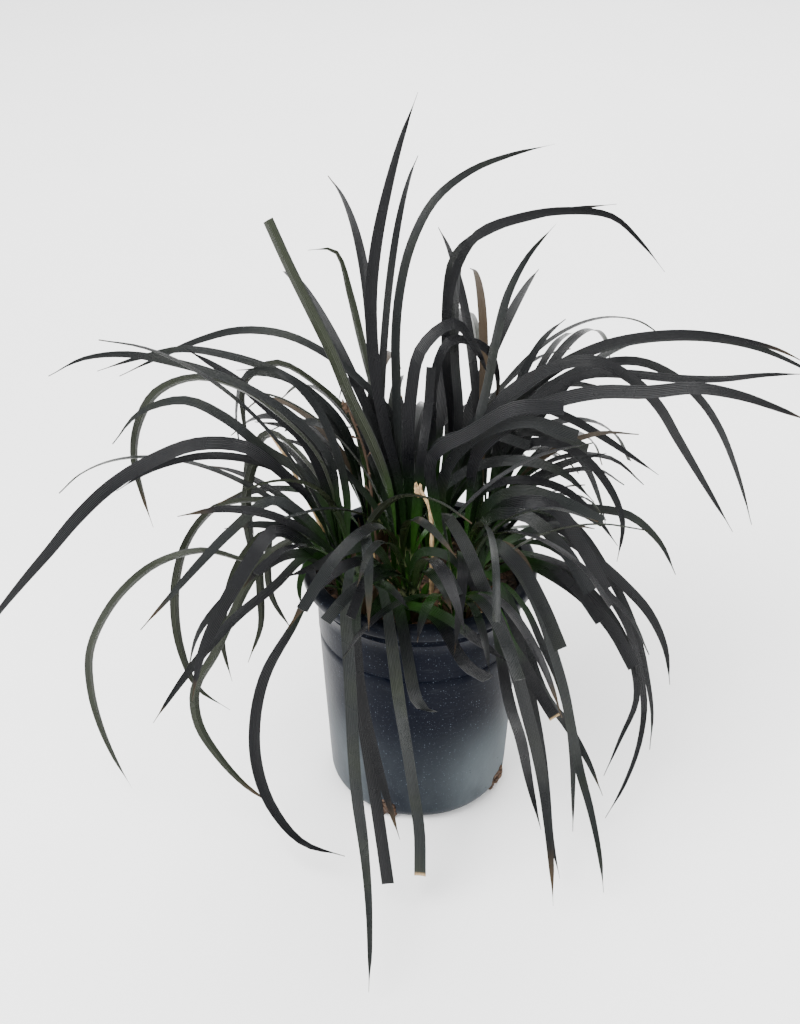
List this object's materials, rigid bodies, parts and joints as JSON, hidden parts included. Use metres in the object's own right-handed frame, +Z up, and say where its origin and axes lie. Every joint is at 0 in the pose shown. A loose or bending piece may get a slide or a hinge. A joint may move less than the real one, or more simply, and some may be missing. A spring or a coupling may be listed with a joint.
{
  "type": "potted ornamental grass",
  "caption": "Black-leaved mondo grass with arching strap leaves, in a round nursery pot filled with potting mix.",
  "frame": {"origin": "centre of the underside of the pot", "axes": "+Z up along the pot's axis; -Y is the side the picture looks at"},
  "size_m": [0.4393, 0.3349, 0.3577],
  "materials": {
    "pot_plastic": "dark blue-grey blow-moulded plastic, semi-gloss, dusty, with pale specks",
    "potting_mix": "dark brown fibrous bark mix with straw-coloured bits",
    "leaf": "satin purple-black leaf with fine veins along it, olive undersides and green bases",
    "dry_stalk": "dead dark brown stalk, matt",
    "dry_straw": "dead straw-coloured stem, matt and fibrous"
  },
  "bodies": {
    "root": {"nursery_pot": "pot_plastic", "potting_soil": "potting_mix", "tuft_middle": "leaf", "tuft_front": "leaf", "tuft_front_left": "leaf", "tuft_front_right": "leaf", "tuft_right": "leaf", "tuft_left": "leaf", "tuft_back_left": "leaf", "tuft_back": "leaf", "tuft_back_right": "leaf", "spent_flower_stalk": "dry_stalk", "dry_straw_left": "dry_straw", "dry_straw_middle": "dry_straw", "dry_straw_front": "dry_straw"}
  },
  "joints": []
}
